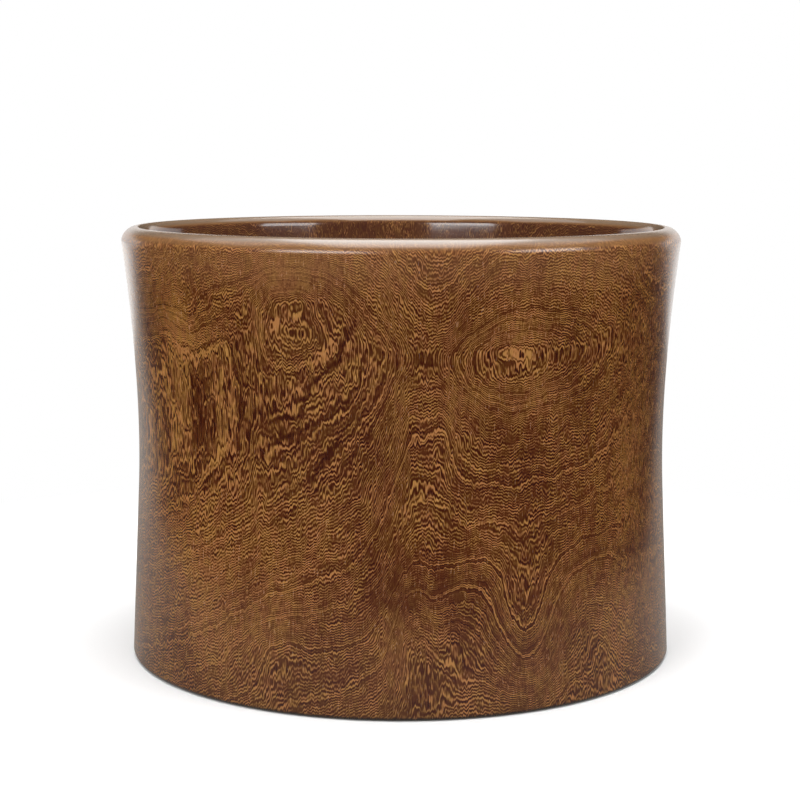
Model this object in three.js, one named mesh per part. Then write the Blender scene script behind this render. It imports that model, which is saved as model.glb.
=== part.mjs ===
// Scroll pot turned from one section of trunk. The wall tapers in from the foot to a waist and flares
// out again to a rolled lip, it stands on a foot ring, and the pith is bored out of its floor, where a
// stepped plug closes the hole. Millimetres, +Z up, origin at the centre of the plane that it stands on.
import * as THREE from 'three';

// Outside of the wall
const height = 230.4;
const rimRadius = 150;
const footRadius = 147.2;
const flareStart = 91.8; // the wall is straight from the foot up to here
const bendRadius = 140.2; // where the straight wall, carried on, meets the line of the flare
const bendHeight = 146;

// Lip: a roll over the wall's top, full at the crest and tight at the soft edge below it
const rollWidth = 8.2; // from the crest out to the widest point
const rollHeight = 5.8;
const crestFullness = 0.66; // reach of the roll's handles, as parts of its width and of its height
const edgeFullness = 0.12;
const innerRollHeight = 4;

// Wall, floor and foot
const wallThickness = 12;
const floorThickness = 14;
const floorFillet = 9;
const footRounding = 2.3;
const footRingWidth = 20;
const recessDepth = 3; // the underside is hollowed inside the foot ring
const recessSlope = 1.5; // how far the foot ring's inner side leans

// Plug in the floor: its head rests on a ledge in the hole, and its shank fills the hole below
const plugHeadRadius = 36;
const plugShankRadius = 29;
const plugHeadThickness = 7;
const plugChamfer = 0.8;
const plugClearance = 0.3;

// Fineness of the turned surfaces
const turnSteps = 108;
const flareSteps = 10;
const rollSteps = 8;
const innerRollSteps = 5;
const filletSteps = 4;

const bodyWood = { color: '#6e4427', roughness: 0.34, metalness: 0 };
const plugWood = { color: '#5c3820', roughness: 0.42, metalness: 0 };

const crestRadius = rimRadius - rollWidth;
const innerRollWidth = wallThickness - rollWidth;
const floorTop = recessDepth + floorThickness;
const ledgeHeight = floorTop - plugHeadThickness;

const point = (radius, z) => new THREE.Vector2(radius, z);

// Radius of the straight lower wall, or of its line carried on up to the bend
function taperRadius(z) {
  return THREE.MathUtils.mapLinear(z, 0, bendHeight, footRadius, bendRadius);
}

// The flare leaves the straight wall in its own line, so no edge shows where the two meet
function flare(inset) {
  return new THREE.QuadraticBezierCurve(
    point(taperRadius(flareStart) - inset, flareStart),
    point(bendRadius - inset, bendHeight),
    point(rimRadius - inset, height - rollHeight),
  ).getPoints(flareSteps);
}

// A quarter turn about a centre, from one angle to another in degrees
function quarter(radius, z, halfWidth, halfHeight, from, to, steps) {
  const start = THREE.MathUtils.degToRad(from);
  const end = THREE.MathUtils.degToRad(to);
  return new THREE.EllipseCurve(radius, z, halfWidth, halfHeight, start, end, to < from).getPoints(steps);
}

// Turns an outline of radius and height about the pot's axis
function turned(name, wood, outline) {
  const geometry = new THREE.LatheGeometry(outline, turnSteps);
  geometry.rotateX(Math.PI / 2);
  const mesh = new THREE.Mesh(geometry, new THREE.MeshStandardMaterial(wood));
  mesh.name = name;
  return mesh;
}

// The rounded outer edge of the foot, from the standing plane up to the straight wall
function footOutline() {
  const centreRadius = taperRadius(footRounding) - footRounding;
  return quarter(centreRadius, footRounding, footRounding, footRounding, -90, 0, filletSteps);
}

// Up the outside of the lip from the soft edge, over the crest and down to the inner wall
function lipOutline() {
  const outerEdge = height - rollHeight;
  const innerEdge = height - innerRollHeight;
  const outside = new THREE.CubicBezierCurve(
    point(rimRadius, outerEdge),
    point(rimRadius, outerEdge + edgeFullness * rollHeight),
    point(crestRadius + crestFullness * rollWidth, height),
    point(crestRadius, height),
  ).getPoints(rollSteps);
  const inside = quarter(crestRadius, innerEdge, innerRollWidth, innerRollHeight, 90, 180, innerRollSteps);
  return [...outside.slice(1), ...inside.slice(1)];
}

// The rounded corner between the inner wall and the floor
function cornerOutline() {
  const centreZ = floorTop + floorFillet;
  const centreRadius = taperRadius(centreZ) - wallThickness - floorFillet;
  return quarter(centreRadius, centreZ, floorFillet, floorFillet, 0, -90, filletSteps);
}

// The floor's hole, from its upper edge down to the hollowed underside, with the ledge for the plug
function holeOutline() {
  return [
    point(plugHeadRadius, floorTop),
    point(plugHeadRadius, ledgeHeight),
    point(plugShankRadius, ledgeHeight),
    point(plugShankRadius, recessDepth),
  ];
}

// The leaning inner side of the foot ring, down to the standing plane
function recessOutline(contactRadius) {
  const ringRadius = contactRadius - footRingWidth;
  return [point(ringRadius - recessSlope, recessDepth), point(ringRadius, 0)];
}

function potBody() {
  const foot = footOutline();
  const outline = [
    ...foot,
    ...flare(0),
    ...lipOutline(),
    ...flare(wallThickness).reverse(),
    ...cornerOutline(),
    ...holeOutline(),
    ...recessOutline(foot[0].x),
    foot[0].clone(),
  ];
  return turned('pot_body', bodyWood, outline);
}

function basePlug() {
  const headRadius = plugHeadRadius - plugClearance;
  const shankRadius = plugShankRadius - plugClearance;
  return turned('base_plug', plugWood, [
    point(0, recessDepth),
    point(shankRadius, recessDepth),
    point(shankRadius, ledgeHeight),
    point(headRadius, ledgeHeight),
    point(headRadius, floorTop - plugChamfer),
    point(headRadius - plugChamfer, floorTop),
    point(0, floorTop),
  ]);
}

const scrollPot = new THREE.Group();
scrollPot.add(potBody(), basePlug());

export default scrollPot;
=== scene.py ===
import math

import bpy
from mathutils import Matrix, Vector
from mathutils.geometry import interpolate_bezier


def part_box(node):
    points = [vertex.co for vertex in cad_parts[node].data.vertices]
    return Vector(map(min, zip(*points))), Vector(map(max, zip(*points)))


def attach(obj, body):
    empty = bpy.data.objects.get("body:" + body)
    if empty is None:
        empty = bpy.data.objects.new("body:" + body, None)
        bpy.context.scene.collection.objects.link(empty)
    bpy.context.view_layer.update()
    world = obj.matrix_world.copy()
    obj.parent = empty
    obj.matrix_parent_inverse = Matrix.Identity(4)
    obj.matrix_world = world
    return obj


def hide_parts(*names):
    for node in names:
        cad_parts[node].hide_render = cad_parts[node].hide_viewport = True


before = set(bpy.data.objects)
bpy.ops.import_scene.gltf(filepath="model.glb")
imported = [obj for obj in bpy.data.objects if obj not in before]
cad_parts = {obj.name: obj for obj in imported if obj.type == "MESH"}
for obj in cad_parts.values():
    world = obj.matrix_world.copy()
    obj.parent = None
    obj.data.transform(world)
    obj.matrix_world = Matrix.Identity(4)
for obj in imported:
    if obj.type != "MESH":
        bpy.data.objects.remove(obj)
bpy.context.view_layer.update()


# Shader maths reads as plain maths: a Flow is a socket, and a sum or product of Flows adds its Math node
class Flow:
    def __init__(self, recipe, socket):
        self.recipe = recipe
        self.socket = socket

    def __add__(self, other):
        return self.recipe.math("ADD", self, other)

    def __sub__(self, other):
        return self.recipe.math("SUBTRACT", self, other)

    def __rsub__(self, other):
        return self.recipe.math("SUBTRACT", other, self)

    def __mul__(self, other):
        return self.recipe.math("MULTIPLY", self, other)

    __radd__ = __add__
    __rmul__ = __mul__

    # Another output of the same node
    def output(self, name):
        return Flow(self.recipe, self.socket.node.outputs[name])


# One node tree being filled: the material of a piece, the floor or the world
class Recipe:
    def __init__(self, owner):
        owner.use_nodes = True
        self.tree = owner.node_tree
        self.tree.nodes.clear()

    # Adds a node: its settings are set first, then its sockets, by name or number, take values or Flows.
    # It hands back one of its outputs, if it has any
    def node(self, kind, settings={}, sockets={}, output=0):
        made = self.tree.nodes.new(kind)
        for name, setting in settings.items():
            if name == "stops":
                self.setStops(made.color_ramp, setting)
            else:
                setattr(made, name, setting)
        for name, value in sockets.items():
            if isinstance(value, Flow):
                self.tree.links.new(value.socket, made.inputs[name])
            else:
                made.inputs[name].default_value = value
        if made.outputs:
            return Flow(self, made.outputs[output])

    def setStops(self, ramp, stops):
        while len(ramp.elements) < len(stops):
            ramp.elements.new(1)
        for element, (position, colour) in zip(ramp.elements, stops):
            element.position = position
            element.color = colour

    def math(self, operation, *values):
        return self.node("ShaderNodeMath", {"operation": operation}, dict(enumerate(values)))

    def vectorMath(self, operation, *values, output="Vector"):
        return self.node("ShaderNodeVectorMath", {"operation": operation}, dict(enumerate(values)), output)

    # The place on the piece that is being shaded, from the pot's own origin
    def place(self):
        return self.node("ShaderNodeTexCoord", output="Object")

    # A soft step from 0 at start to 1 at end
    def fade(self, value, start, end):
        settings = {"interpolation_type": "SMOOTHSTEP"}
        sockets = {"Value": value, "From Min": start, "From Max": end}
        return self.node("ShaderNodeMapRange", settings, sockets)

    def noise(self, place, scale, detail, output=0):
        sockets = {"Vector": place, "Scale": scale, "Detail": detail}
        return self.node("ShaderNodeTexNoise", {"noise_dimensions": "3D"}, sockets, output)

    # The place seen from a spot of its own: moved there, turned, and measured in its own sizes
    def seenFrom(self, place, location=(0, 0, 0), rotation=(0, 0, 0), scale=(1, 1, 1)):
        sockets = {"Vector": place, "Location": location, "Rotation": rotation, "Scale": scale}
        return self.node("ShaderNodeMapping", {"vector_type": "TEXTURE"}, sockets)

    # A colour on its way from the first to the second
    def blend(self, factor, first, second):
        return self.node("ShaderNodeMix", {"data_type": "RGBA"}, {0: factor, 6: first, 7: second}, 2)

    def blendShaders(self, factor, first, second):
        return self.node("ShaderNodeMixShader", sockets={0: factor, 1: first, 2: second})


# An sRGB hex colour as Blender's linear colour
def paint(code):
    parts = [int(code[i:i + 2], 16) / 255 for i in (0, 2, 4)]
    linear = [((part + 0.055) / 1.055) ** 2.4 if part > 0.04045 else part / 12.92 for part in parts]
    return (*linear, 1)


# The turned pieces

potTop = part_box("pot_body")[1]
potSizes = {
    "height": potTop.z,
    "rimRadius": potTop.x,
    "footRadius": 0.1472,
    "flareStart": 0.0918,  # straight from the foot up to here
    "bendRadius": 0.1402,  # where the straight wall, carried on, meets the line of the flare
    "bendHeight": 0.146,
    "rollWidth": 0.0082,  # lip, from the crest out to the widest point
    "rollHeight": 0.0058,
    "edgeSoftness": 0.0020,  # how far below the soft edge the roll begins
    "crestFullness": 0.66,
    "edgeFullness": 0.12,
    "wall": 0.012,
    "floor": 0.014,
    "floorFillet": 0.009,
    "footRounding": 0.0023,
    "footRing": 0.020,
    "recess": 0.003,
    "recessSlope": 0.0015,
    "arris": 0.0006,  # inside edges, broken with fine paper
    "steps": 256,
}
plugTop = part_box("base_plug")[1]
plugSizes = {
    "headRadius": plugTop.x,
    "shankRadius": 0.0287,
    "headThickness": 0.007,
    "chamfer": 0.0008,
    "clearance": 0.0003,
    "steps": 128,
}


def spot(radius, height):
    return Vector((radius, 0, height))


def straight(start, end, points):
    return [start.lerp(end, i / (points - 1)) for i in range(points)]


def bow(start, bend, end, points):
    return interpolate_bezier(start, start.lerp(bend, 2 / 3), end.lerp(bend, 2 / 3), end, points)


# A quarter of a circle or an ellipse, with the corner that it rounds off
def quarter(start, corner, end, points):
    reach = 0.5523
    return interpolate_bezier(start, start.lerp(corner, reach), end.lerp(corner, reach), end, points)


# A corner broken by the width of the arris
def broken(before, corner, after, width):
    start = corner + (before - corner).normalized() * width
    end = corner + (after - corner).normalized() * width
    return bow(start, corner, end, 4)


# Draws the outline point by point and spins it into a closed piece, as a lathe would
def turn(name, outline, steps, sharpAngle=30):
    bpy.ops.object.select_all(action="DESELECT")
    bpy.ops.mesh.primitive_plane_add(size=0.001, location=outline[0])
    piece = bpy.context.object
    piece.name = name
    bpy.ops.object.mode_set(mode="EDIT")
    bpy.ops.mesh.select_all(action="SELECT")
    bpy.ops.mesh.merge(type="CENTER")
    for here, there in zip(outline, outline[1:]):
        bpy.ops.mesh.extrude_region_move(TRANSFORM_OT_translate={"value": there - here})
    bpy.ops.mesh.select_all(action="SELECT")
    bpy.ops.mesh.spin(steps=steps, angle=math.tau, center=(0, 0, 0), axis=(0, 0, 1))
    bpy.ops.mesh.select_all(action="SELECT")
    bpy.ops.mesh.remove_doubles(threshold=0.00001)
    bpy.ops.mesh.normals_make_consistent(inside=False)
    bpy.ops.object.mode_set(mode="OBJECT")
    bpy.ops.object.transform_apply(location=True, rotation=True, scale=True)
    bpy.ops.object.shade_smooth_by_angle(angle=math.radians(sharpAngle))
    return piece


def taperRadius(z):
    sizes = potSizes
    return sizes["footRadius"] + (sizes["bendRadius"] - sizes["footRadius"]) * z / sizes["bendHeight"]


def makePot():
    sizes = potSizes
    ring = taperRadius(sizes["footRounding"]) - sizes["footRounding"]
    footCorner = spot(taperRadius(sizes["footRounding"]), 0)
    footTop = spot(taperRadius(sizes["footRounding"]), sizes["footRounding"])
    flareFoot = spot(taperRadius(sizes["flareStart"]), sizes["flareStart"])
    bend = spot(sizes["bendRadius"], sizes["bendHeight"])
    edge = spot(sizes["rimRadius"], sizes["height"] - sizes["rollHeight"])
    flareEnd = edge - (edge - bend).normalized() * sizes["edgeSoftness"]
    crest = spot(sizes["rimRadius"] - sizes["rollWidth"], sizes["height"])
    inset = spot(-sizes["wall"], 0)
    innerEdge = edge + inset
    innerFlare = innerEdge - bend - inset
    innerCorner = innerEdge + innerFlare * (sizes["rollHeight"] / innerFlare.z)
    floorTop = sizes["recess"] + sizes["floor"]
    filletHeight = floorTop + sizes["floorFillet"]
    filletTop = spot(taperRadius(filletHeight), filletHeight) + inset
    filletCorner = spot(filletTop.x, floorTop)
    filletEnd = spot(filletTop.x - sizes["floorFillet"], floorTop)
    head = plugSizes["headRadius"] + plugSizes["clearance"]
    shank = plugSizes["shankRadius"] + plugSizes["clearance"]
    ledge = floorTop - plugSizes["headThickness"]
    holeTop, ledgeOut, ledgeIn = spot(head, floorTop), spot(head, ledge), spot(shank, ledge)
    holeFoot = spot(shank, sizes["recess"])
    recessOut = spot(ring - sizes["footRing"] - sizes["recessSlope"], sizes["recess"])
    ringIn = spot(ring - sizes["footRing"], 0)
    contact = spot(ring, 0)

    # Each stretch ends with its number of points, and leaves out the first, where the last one ended
    outside = quarter(contact, footCorner, footTop, 9)
    outside += straight(footTop, flareFoot, 12)[1:] + bow(flareFoot, bend, flareEnd, 64)[1:]
    lip = interpolate_bezier(
        flareEnd,
        edge + spot(0, sizes["rollHeight"] * sizes["edgeFullness"]),
        crest + spot(sizes["rollWidth"] * sizes["crestFullness"], 0),
        crest,
        28,
    )[1:]
    lip += quarter(crest, innerCorner, innerEdge, 16)[1:]
    inside = bow(innerEdge, bend + inset, flareFoot + inset, 40)[1:]
    inside += straight(flareFoot + inset, filletTop, 8)[1:]
    inside += quarter(filletTop, filletCorner, filletEnd, 10)[1:]
    hole = broken(filletEnd, holeTop, ledgeOut, sizes["arris"]) + [ledgeOut]
    hole += broken(ledgeOut, ledgeIn, holeFoot, sizes["arris"])
    hole += broken(ledgeIn, holeFoot, recessOut, sizes["arris"])
    under = [recessOut] + broken(recessOut, ringIn, contact, sizes["arris"]) + [contact]
    pot = turn("turned_pot", outside + lip + inside + hole + under, sizes["steps"])
    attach(pot, "root")
    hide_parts("pot_body")
    print("turned the pot")
    return pot


def makePlug():
    sizes = plugSizes
    foot = potSizes["recess"]
    top = foot + potSizes["floor"]
    ledge = top - sizes["headThickness"]
    arris = potSizes["arris"]
    shankFoot, neck = spot(sizes["shankRadius"], foot), spot(sizes["shankRadius"], ledge)
    headFoot, headTop = spot(sizes["headRadius"], ledge), spot(sizes["headRadius"], top)
    start, end = spot(0, foot), spot(0, top)
    outline = [start] + broken(start, shankFoot, neck, arris) + [neck]
    outline += broken(neck, headFoot, headTop, arris)
    outline += broken(headFoot, headTop, end, sizes["chamfer"]) + [end]
    plug = turn("turned_plug", outline, sizes["steps"])
    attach(plug, "root")
    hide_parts("base_plug")
    print("turned the plug")
    return plug


# The wood: one solid figure that both pieces are cut from
figure = {
    "fineness": 1.1,  # times all the counts of layers below, but not the kinks or the streaks
    "closeness": 600,  # layers to the metre, up and down from the knots
    "rootward": 40,  # so much closer above the knots, and wider below
    "rings": 400,  # layers to the metre, from the middle of the trunk outwards
    "knotHeight": 0.178,
    "knotSpread": 0.010,  # how softly the layers fold there
    "lean": 330,  # below the knots the layers rise to the right, so many to the metre
    "leanFrom": 0.212,  # down from here, and wholly from the next height
    "leanWhole": 0.084,
    "leanEnd": 0.040,  # how far to the right they go on rising, and how softly they stop
    "leanSoftness": 0.04,
    # Swells in the layers: degrees round from the front, height, half width, half height, degrees of
    # lean, and how many layers they are pushed out
    "swells": [
        (-20, 0.197, 0.022, 0.018, 0, -22),  # left eye, with a flat middle
        (-19, 0.193, 0.016, 0.007, 0, 5),
        (-25, 0.216, 0.056, 0.026, 0, -9),  # the lines arch over it
        (-62, 0.214, 0.036, 0.030, 0, 15),  # and climb towards it
        (-45, 0.190, 0.009, 0.014, 0, 6),
        (-55, 0.184, 0.008, 0.014, 0, -5),
        (20, 0.170, 0.034, 0.018, 0, -14),  # right eye
        (20, 0.171, 0.017, 0.006, 0, 4),
        (6, 0.185, 0.022, 0.060, 0, 20.4),  # ridge between them
        (3, 0.110, 0.018, 0.040, 0, 14),  # dome below it, and its narrow foot
        (2, 0.045, 0.010, 0.030, 0, 18),
        (10, 0.045, 0.016, 0.036, -20, 14),
        (25, 0.044, 0.014, 0.034, 0, -18),  # valley to the right of the dome
        (66, 0.160, 0.048, 0.080, 0, 26),  # ridge at the right
        (42, 0.040, 0.024, 0.040, 0, 16),
        (-30, 0.178, 0.008, 0.030, 0, 6),
        (-24, 0.032, 0.022, 0.022, 0, 10),
        (1.5, 0.146, 0.005, 0.024, 0, 5),  # narrow zigzags
        (8.5, 0.140, 0.005, 0.018, 0, 4),
        (-28.5, 0.105, 0.004, 0.040, 0, 3),
        (-51.7, 0.2212, 0.0035, 0.0040, 0, 3.4),  # small loops under the lip
        (-46.1, 0.2208, 0.0035, 0.0038, 0, 3.4),
        (-41.5, 0.2208, 0.0040, 0.0030, 0, 2.4),
        (-95, 0.100, 0.026, 0.020, 10, -18),  # eyes and ridges round the sides and the back
        (-120, 0.196, 0.022, 0.016, 0, -13),
        (-140, 0.060, 0.030, 0.030, 0, 20),
        (-164, 0.116, 0.018, 0.018, 0, -15),
        (100, 0.072, 0.030, 0.022, 0, -20),
        (128, 0.150, 0.022, 0.040, 0, 17),
        (165, 0.066, 0.020, 0.040, 0, 14),
        (180, 0.178, 0.110, 0.060, 0, 48),  # the back is flat to the top, so it shows upright streaks
    ],
    "swellDepth": 0.040,  # half depth into the wall, of the places in all the lists
    "waves": 6.5,  # slow waves, in layers, with their width and height
    "waveSize": (0.011, 0.020),
    "kinks": 2.1,  # small zigzags, likewise
    "kinkSize": (0.0014, 0.009),
    "streakSize": (0.0013, 0.022),
    "streaks": [  # places as the swells', and how many layers the upright streaks shift there
        (-40, 0.156, 0.028, 0.036, 0, 5),
        (-14, 0.169, 0.024, 0.013, 0, 3.5),
        (4, 0.168, 0.014, 0.028, 0, 2),
        (2, 0.045, 0.012, 0.035, 0, 3.5),
        (24, 0.050, 0.014, 0.032, 0, 2),
        (58, 0.115, 0.022, 0.085, 0, 14),
        (-46, 0.214, 0.036, 0.018, 0, 2.5),
        (180, 0.200, 0.120, 0.050, 0, 8),
    ],
    "bandsPerLayer": 0.7,  # wide dark and light bands
    "bandedness": 0.55,  # how strong they are all over, and how much stronger in places
    "banded": [
        (-42, 0.150, 0.024, 0.034, 0, 1.0),
        (-12, 0.158, 0.026, 0.030, 30, 0.4),
        (6, 0.130, 0.024, 0.026, 0, 0.35),
        (58, 0.120, 0.020, 0.080, 0, 0.3),
        (20, 0.172, 0.024, 0.012, 0, 0.4),
        (19, 0.048, 0.026, 0.026, 0, 1.1),
        (180, 0.120, 0.120, 0.090, 0, 0.5),
    ],
    "darkLines": [  # single dark lines round the left eye
        (-10.5, 0.181, 0.0010, 0.009, -23, -0.5),
        (-14.5, 0.167, 0.0011, 0.009, -50, -0.5),
        (-18.3, 0.154, 0.0010, 0.008, -16, -0.5),
        (-21.6, 0.145, 0.0010, 0.006, -78, -0.45),
        (-14.0, 0.128, 0.0011, 0.018, -34, -0.45),
        (-22.0, 0.136, 0.0011, 0.015, -64, -0.4),
    ],
    "wander": 0.004,  # how far they stray, and how many turns to the metre
    "wanderTurns": 300,
    "lighter": [  # lighter places, and darker ones where it is below 0
        (-46, 0.182, 0.020, 0.022, 0, 0.08),
        (-52, 0.150, 0.022, 0.060, 0, 0.11),
        (-38, 0.150, 0.005, 0.022, 0, 0.14),
        (-44, 0.147, 0.006, 0.016, 0, -0.25),
        (-33, 0.160, 0.004, 0.030, 0, -0.13),
        (-20, 0.220, 0.024, 0.014, 0, 0.07),
        (-8, 0.185, 0.020, 0.020, 0, 0.07),
        (12, 0.180, 0.016, 0.020, 0, -0.05),
        (25, 0.195, 0.022, 0.020, 0, 0.06),
        (34, 0.125, 0.020, 0.030, 0, -0.07),
        (3, 0.070, 0.028, 0.022, 0, -0.11),
        (-15, 0.125, 0.026, 0.022, 30, -0.04),
        (-34, 0.060, 0.036, 0.045, 0, 0.09),
        (-46, 0.026, 0.030, 0.020, 0, 0.05),
        (50, 0.040, 0.024, 0.030, 0, 0.06),
    ],
    "clearSize": (0.005, 0.006),  # places where the lines stand out more or less
    "lineStrength": 0.85,
    "lineLoss": 0.2,
    "fibreSize": (0.0007, 0.0035),  # short fibres
    "fibreStrength": 0.5,
    "patchSize": (0.030, 0.045),  # wide darker and lighter places
    "patchStrength": 0.3,
    "blushSize": (0.005, 0.009),  # redder and yellower places
    "blushFade": (0.38, 0.62),
}
woodTones = {
    "golden": ("3C1200", "562E0A", "A7763A"),  # dark, middle and light
    "rosy": ("3A0F00", "55290B", "A66F3D"),
    "toneSteps": (0.16, 0.5, 0.84),  # how light the figure is at each of the three
    "middle": 0.49,  # how light it is on the whole
    "roughness": 0.12,
    "fibreRoughness": 0.12,
    "reliefStrength": 0.15,
    "reliefHeight": 0.00002,
    "polish": 1.55,  # refraction of the oil and wax
}


# Noise with grains of one width all round and another height, along the trunk
def grain(recipe, place, size, detail):
    wide, high = size
    return recipe.noise(recipe.seenFrom(place, scale=(wide, wide, high)), 1, detail)


# A soft bulge on the pot's wall
def bulge(recipe, place, around, rise, wide, high, lean, push):
    angle = math.radians(around)
    out = taperRadius(rise)
    swell = recipe.seenFrom(
        place,
        location=(out * math.sin(angle), -out * math.cos(angle), rise),
        rotation=(0, math.radians(-lean), angle),
        scale=(wide, figure["swellDepth"], high),
    )
    distance = recipe.vectorMath("DOT_PRODUCT", swell, swell, output="Value")
    return recipe.math("POWER", math.exp(-1), distance) * push


def bulges(recipe, place, shapes):
    total = 0
    for shape in shapes:
        total = bulge(recipe, place, *shape) + total
    return total


# A place moved a little to and fro, so that what is drawn there isn't ruled
def shaken(recipe, place, far, turns):
    sway = recipe.noise(place, turns, 1, output="Color")
    sway = recipe.vectorMath("MULTIPLY_ADD", sway, (far, far, far / 2), (-far / 2, -far / 2, -far / 4))
    return recipe.vectorMath("ADD", place, sway)


# A place's distance to the right, its height and its distance from the axis
def measured(recipe, place):
    across = recipe.node("ShaderNodeSeparateXYZ", sockets={0: place})
    flat = recipe.vectorMath("MULTIPLY", place, (1, 1, 0))
    return across, across.output("Z"), recipe.vectorMath("LENGTH", flat, output="Value")


# How many layers deep a place lies in the trunk
def layerDepth(recipe, place):
    across, height, radius = measured(recipe, place)
    up = height - figure["knotHeight"]
    fold = recipe.math("SQRT", up * up + figure["knotSpread"] ** 2)
    depth = fold * figure["closeness"] + up * figure["rootward"] + radius * figure["rings"]
    low = recipe.fade(height, figure["leanFrom"], figure["leanWhole"])
    rising = recipe.math("SMOOTH_MIN", across - figure["leanEnd"], 0, figure["leanSoftness"])
    depth = depth + low * rising * figure["lean"] + bulges(recipe, place, figure["swells"])
    depth = depth + (grain(recipe, place, figure["waveSize"], 2) - 0.5) * figure["waves"]
    kinks = (grain(recipe, place, figure["kinkSize"], 1) - 0.5) * figure["kinks"]
    streaks = grain(recipe, place, figure["streakSize"], 1) - 0.5
    streaks = streaks * bulges(recipe, place, figure["streaks"])
    return depth * figure["fineness"] + kinks + streaks


# How dark or light the wood is, from its lines, its bands, its fibres, its lighter places and the darkening
# it is given, which inside the pot is painted shade
def figureShade(recipe, place, darker, fibre):
    depth = layerDepth(recipe, place)
    clear = grain(recipe, place, figure["clearSize"], 2) * figure["lineStrength"] - figure["lineLoss"]
    lines = recipe.math("SINE", depth * math.tau) * clear
    sockets = {"W": depth * figure["bandsPerLayer"], "Scale": 1, "Detail": 2}
    bands = recipe.node("ShaderNodeTexNoise", {"noise_dimensions": "1D"}, sockets) - 0.5
    bands = bands * (bulges(recipe, place, figure["banded"]) + figure["bandedness"])
    patches = (grain(recipe, place, figure["patchSize"], 1) - 0.5) * figure["patchStrength"]
    light = bulges(recipe, place, figure["lighter"]) + patches + woodTones["middle"] - darker
    strayed = shaken(recipe, place, figure["wander"], figure["wanderTurns"])
    light = light + bulges(recipe, strayed, figure["darkLines"])
    return lines + bands + fibre * figure["fibreStrength"] + light


# Dark, middle and light wood, by how light the figure is there
def toned(recipe, shade, tones):
    stops = [(step, paint(tone)) for step, tone in zip(woodTones["toneSteps"], tones)]
    return recipe.node("ShaderNodeValToRGB", {"stops": stops}, {0: shade})


# The wood's colour, its fine relief, which the smooth lip has none of, and its fibres
def woodFinish(recipe, place, darker, bare=1):
    fibre = grain(recipe, place, figure["fibreSize"], 1) - 0.5
    shade = figureShade(recipe, place, darker, fibre)
    blush = recipe.fade(grain(recipe, place, figure["blushSize"], 2), *figure["blushFade"])
    golden = toned(recipe, shade, woodTones["golden"])
    rosy = toned(recipe, shade, woodTones["rosy"])
    relief = {
        "Strength": woodTones["reliefStrength"],
        "Distance": woodTones["reliefHeight"],
        "Height": fibre * bare,
    }
    return recipe.blend(blush, golden, rosy), recipe.node("ShaderNodeBump", sockets=relief), fibre


# Ends the material with polished wood
def polish(recipe, colour, roughness, relief):
    sockets = {
        "Base Color": colour,
        "Roughness": roughness + woodTones["roughness"],
        "IOR": woodTones["polish"],
        "Normal": relief,
    }
    shader = recipe.node("ShaderNodeBsdfPrincipled", sockets=sockets)
    recipe.node("ShaderNodeOutputMaterial", sockets={"Surface": shader})


# The pot's tones, painted shade and sheen among them, each with the place where it fades in and its
# strength
potTones = {
    "outsideRadius": (0.1385, 0.1415),  # from the inner face of the wall to the outer one
    "outsideRoughness": 0.13,
    # Painted shade in the hollow: the inner wall is blended towards this dull brown and made darker
    "inside": "48342A",
    "paintedInsideShadeStrength": 0.45,
    "paintedInsideShadeDarkness": 0.17,
    "topHeight": (0.195, 0.218),  # the wall is a little lighter towards its top
    "topLightness": 0.05,
    "paintedSheen": "BE8C64",  # painted sheen: a pale haze outside, where the flare turns up to the light
    "paintedSheenHeight": (0.198, 0.222),
    "paintedSheenStrength": 0.10,
    # A plain tan over the lip's roll: partly its smooth end grain, partly painted sheen that hides the
    # figure there
    "lip": "745232",
    "lipHeight": (0.2262, 0.2278),  # inside, and so much lower outside
    "lipDrop": 0.0018,
    "lipStrength": 0.75,
    # Painted shade and sheen: a dull grey on the crest, darker where the overhead lamp falls strongest and
    # grey like the reflection in the polish
    "crest": "625548",
    "crestHeight": (0.2270, 0.2290),
    "crestStrength": 0.75,
    "paintedFootShadow": "180C06",  # painted shadow: the foot's edge darkened just above the table, outside the foot ring
    "paintedFootShadowHeight": (0.0026, 0.0010),
    "paintedFootShadowRadius": (0.1430, 0.1445),
    "paintedFootShadowStrength": 0.9,
}


def potFinish():
    tones = potTones
    material = bpy.data.materials.new("polished_figured_wood")
    recipe = Recipe(material)
    place = recipe.place()
    height, radius = measured(recipe, place)[1:]
    outside = recipe.fade(radius, *tones["outsideRadius"])
    inside = 1 - outside
    top = recipe.fade(height, *tones["topHeight"])
    paintedSheen = recipe.fade(height, *tones["paintedSheenHeight"]) * outside
    lip = recipe.fade(height + outside * tones["lipDrop"], *tones["lipHeight"])
    crest = recipe.fade(height, *tones["crestHeight"])
    paintedFootShadow = recipe.fade(height, *tones["paintedFootShadowHeight"]) * recipe.fade(radius, *tones["paintedFootShadowRadius"])
    bare = 1 - lip
    # Painted shade darkens the inner wall; the wall is also a little lighter towards its top
    darker = inside * tones["paintedInsideShadeDarkness"] - top * tones["topLightness"]
    colour, relief, fibre = woodFinish(recipe, place, darker, bare)
    colour = recipe.blend(inside * tones["paintedInsideShadeStrength"], colour, paint(tones["inside"]))
    # Painted sheen: a pale haze high on the outside
    colour = recipe.blend(paintedSheen * tones["paintedSheenStrength"], colour, paint(tones["paintedSheen"]))
    # The lip's plain tan, partly painted sheen
    colour = recipe.blend(lip * tones["lipStrength"], colour, paint(tones["lip"]))
    # Painted shade and sheen on the crest
    colour = recipe.blend(crest * tones["crestStrength"], colour, paint(tones["crest"]))
    # Painted contact shadow along the foot's edge
    colour = recipe.blend(paintedFootShadow * tones["paintedFootShadowStrength"], colour, paint(tones["paintedFootShadow"]))
    roughness = bare * fibre * woodTones["fibreRoughness"] + outside * tones["outsideRoughness"]
    polish(recipe, colour, roughness, relief)
    return material


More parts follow.
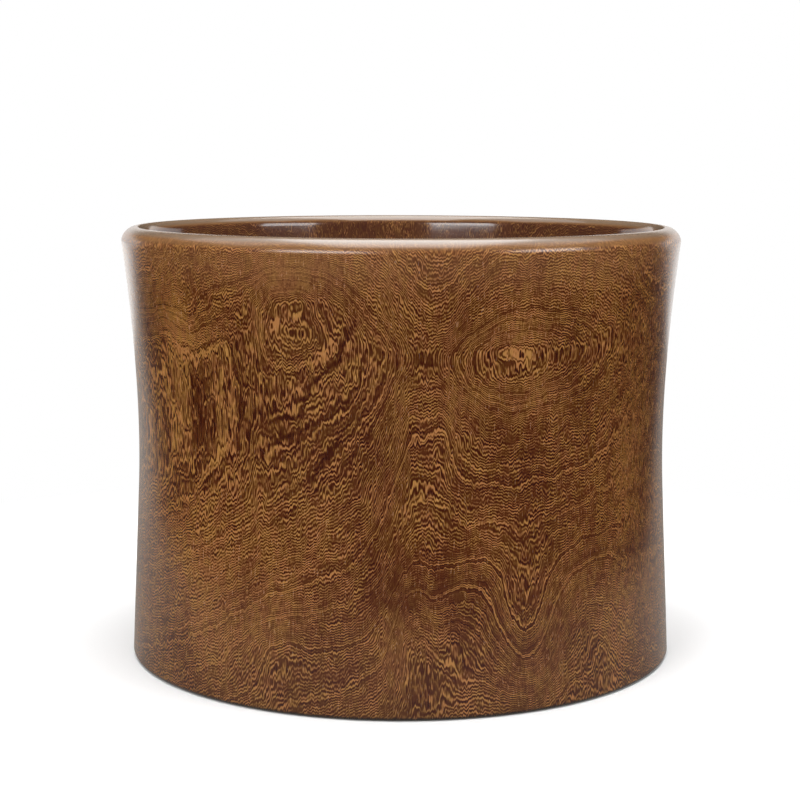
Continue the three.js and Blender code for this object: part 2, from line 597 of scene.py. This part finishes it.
# The plug is long grain from the same timber, turned on its side
plugTones = {
    "cutPlace": (0.02, -0.01, 0.13),  # where in the timber it is cut
    "cutTurn": (82, 0, 25),  # and how it lies there, in degrees
    "darkness": 0.12,
    "tone": "48342A",
    "strength": 0.45,
    "roughness": 0.20,
}


def plugFinish():
    tones = plugTones
    material = bpy.data.materials.new("polished_plug_wood")
    recipe = Recipe(material)
    turned = [math.radians(angle) for angle in tones["cutTurn"]]
    cut = recipe.seenFrom(recipe.place(), location=tones["cutPlace"], rotation=turned)
    colour, relief, fibre = woodFinish(recipe, cut, tones["darkness"])
    colour = recipe.blend(tones["strength"], colour, paint(tones["tone"]))
    polish(recipe, colour, fibre * woodTones["fibreRoughness"] + tones["roughness"], relief)
    return material


for piece, finish in ((makePot(), potFinish()), (makePlug(), plugFinish())):
    piece.data.materials.clear()
    piece.data.materials.append(finish)
print("finished the wood")

# The studio

studio = {
    "floorSize": 12,
    "floorTone": 0.825,  # as the camera sees the floor near the pot, where it holds the shadow
    "floorBounce": 0.55,  # as it lights the pot from below
    "shadowReach": 0.35,  # past this the floor turns plain white
    "shadowFade": 0.15,
    "paperLeft": (-0.45, -0.50),  # white paper behind the pot: its edges beside it, and their slants
    "paperRight": (0.35, 0.40),
    "paperSoftness": 0.05,
    "paperStart": (-0.2, 0.0),  # how far back the paper fades in
    "paperNear": 0.43,  # it also lies all round the pot, as far as this
    "nearSoftness": 0.1,
    "nearShine": 0.75,
    "paperShine": 0.47,  # how bright it is in the polish
    "paperLighter": 0.4,  # so much brighter again at the left, between these places
    "lighterSide": (-0.2, -0.5),
    "paperTint": (1, 0.96, 0.9, 1),
    "roomShine": 0.02,
    "worldFill": 0.3,
    "cameraPlace": (0, -0.98857, 0.27301),
    "cameraTurn": (82.051, -0.103, 0.041),  # degrees
    "cameraLens": 81.995,
    "cameraSensor": 36,
}


# How bright the floor is in the polish: white paper on it, and little light from the rest of the room
def paperShine(recipe, place, distance):
    across = recipe.node("ShaderNodeSeparateXYZ", sockets={0: place})
    back = across.output("Y")
    left, leftSlant = studio["paperLeft"]
    right, rightSlant = studio["paperRight"]
    soft = studio["paperSoftness"]
    paper = recipe.fade(across - back * leftSlant, left - soft, left + soft)
    paper = paper * recipe.fade(across - back * rightSlant, right + soft, right - soft)
    paper = paper * recipe.fade(back, *studio["paperStart"])
    reach, blur = studio["paperNear"], studio["nearSoftness"]
    near = recipe.fade(distance, reach + blur, reach - blur) * studio["nearShine"]
    paper = recipe.math("MAXIMUM", paper, near)
    paper = paper * (recipe.fade(across, *studio["lighterSide"]) * studio["paperLighter"] + 1)
    return studio["roomShine"] + paper * (studio["paperShine"] - studio["roomShine"])


def grey(tone):
    return (tone, tone, tone, 1)


def makeFloor():
    bpy.ops.object.select_all(action="DESELECT")
    bpy.ops.mesh.primitive_plane_add(size=studio["floorSize"])
    floor = bpy.context.object
    floor.name = "floor"
    material = bpy.data.materials.new("pale_floor")
    recipe = Recipe(material)
    cameraRay = recipe.node("ShaderNodeLightPath")
    place = recipe.place()
    distance = recipe.vectorMath("LENGTH", place, output="Value")
    lit = recipe.node("ShaderNodeBsdfDiffuse", sockets={"Color": grey(studio["floorTone"])})
    plain = recipe.node("ShaderNodeEmission", sockets={"Color": grey(1)})
    far = recipe.fade(distance, studio["shadowReach"], studio["shadowReach"] + studio["shadowFade"])
    seen = recipe.blendShaders(far, lit, plain)
    bounce = recipe.node("ShaderNodeBsdfDiffuse", sockets={"Color": grey(studio["floorBounce"])})
    shine = {"Color": studio["paperTint"], "Strength": paperShine(recipe, place, distance)}
    reflected = recipe.node("ShaderNodeEmission", sockets=shine)
    hidden = recipe.blendShaders(cameraRay.output("Is Glossy Ray"), bounce, reflected)
    shader = recipe.blendShaders(cameraRay, hidden, seen)
    recipe.node("ShaderNodeOutputMaterial", sockets={"Surface": shader})
    floor.data.materials.append(material)


# White to the camera, dark in the polish, and a low fill light on everything else
def makeWorld():
    world = bpy.data.worlds.new("studio")
    bpy.context.scene.world = world
    recipe = Recipe(world)
    cameraRay = recipe.node("ShaderNodeLightPath")
    fill, shine = studio["worldFill"], studio["roomShine"]
    strength = fill + cameraRay * (1 - fill) + cameraRay.output("Is Glossy Ray") * (shine - fill)
    background = recipe.node("ShaderNodeBackground", sockets={"Color": grey(1), "Strength": strength})
    recipe.node("ShaderNodeOutputWorld", sockets={"Surface": background})


def addLamp(name, place, aim, size, brightness, lightsRoom=True):
    bpy.ops.object.light_add(type="AREA", location=place)
    lamp = bpy.context.object
    lamp.name = name
    lamp.data.shape = "RECTANGLE"
    lamp.data.size, lamp.data.size_y = size
    lamp.data.energy = brightness * math.pi * size[0] * size[1]
    lamp.rotation_euler = (Vector(aim) - Vector(place)).to_track_quat("-Z", "Y").to_euler()
    lamp.visible_camera = False
    lamp.visible_diffuse = lightsRoom  # a screen only shows in the polish


def makeCamera():
    bpy.ops.object.camera_add(location=studio["cameraPlace"])
    camera = bpy.context.object
    camera.rotation_euler = [math.radians(angle) for angle in studio["cameraTurn"]]
    camera.data.sensor_width = studio["cameraSensor"]
    camera.data.lens = studio["cameraLens"]
    bpy.context.scene.camera = camera


makeFloor()
makeWorld()

# Lamps and screens: where each is, what it faces, its width and height, and its brightness
addLamp("softbox_overhead", (0.01, -0.08, 0.9), (0.01, -0.08, 0.2), (0.6, 0.9), 5.8)
addLamp("softbox_wide", (-0.05, 0.1, 1.0), (-0.05, 0.1, 0.2), (1.8, 0.8), 1.8)
addLamp("softbox_left", (-0.69, -1.11, 0.73), (0, 0, 0.2), (0.8, 0.36), 8.6)
addLamp("softbox_right", (1.13, -0.65, 0.73), (0, 0, 0.2), (0.7, 0.36), 7.0)
addLamp("screen_left", (-0.95, 1.3, 0.3), (-0.95, 0, 0.3), (1.4, 0.6), 1.3, lightsRoom=False)
addLamp("screen_right", (0.95, 1.3, 0.3), (0.95, 0, 0.3), (1.4, 0.6), 1.3, lightsRoom=False)
makeCamera()
print("set up the studio")
bpy.context.scene.view_settings.view_transform = "Standard"
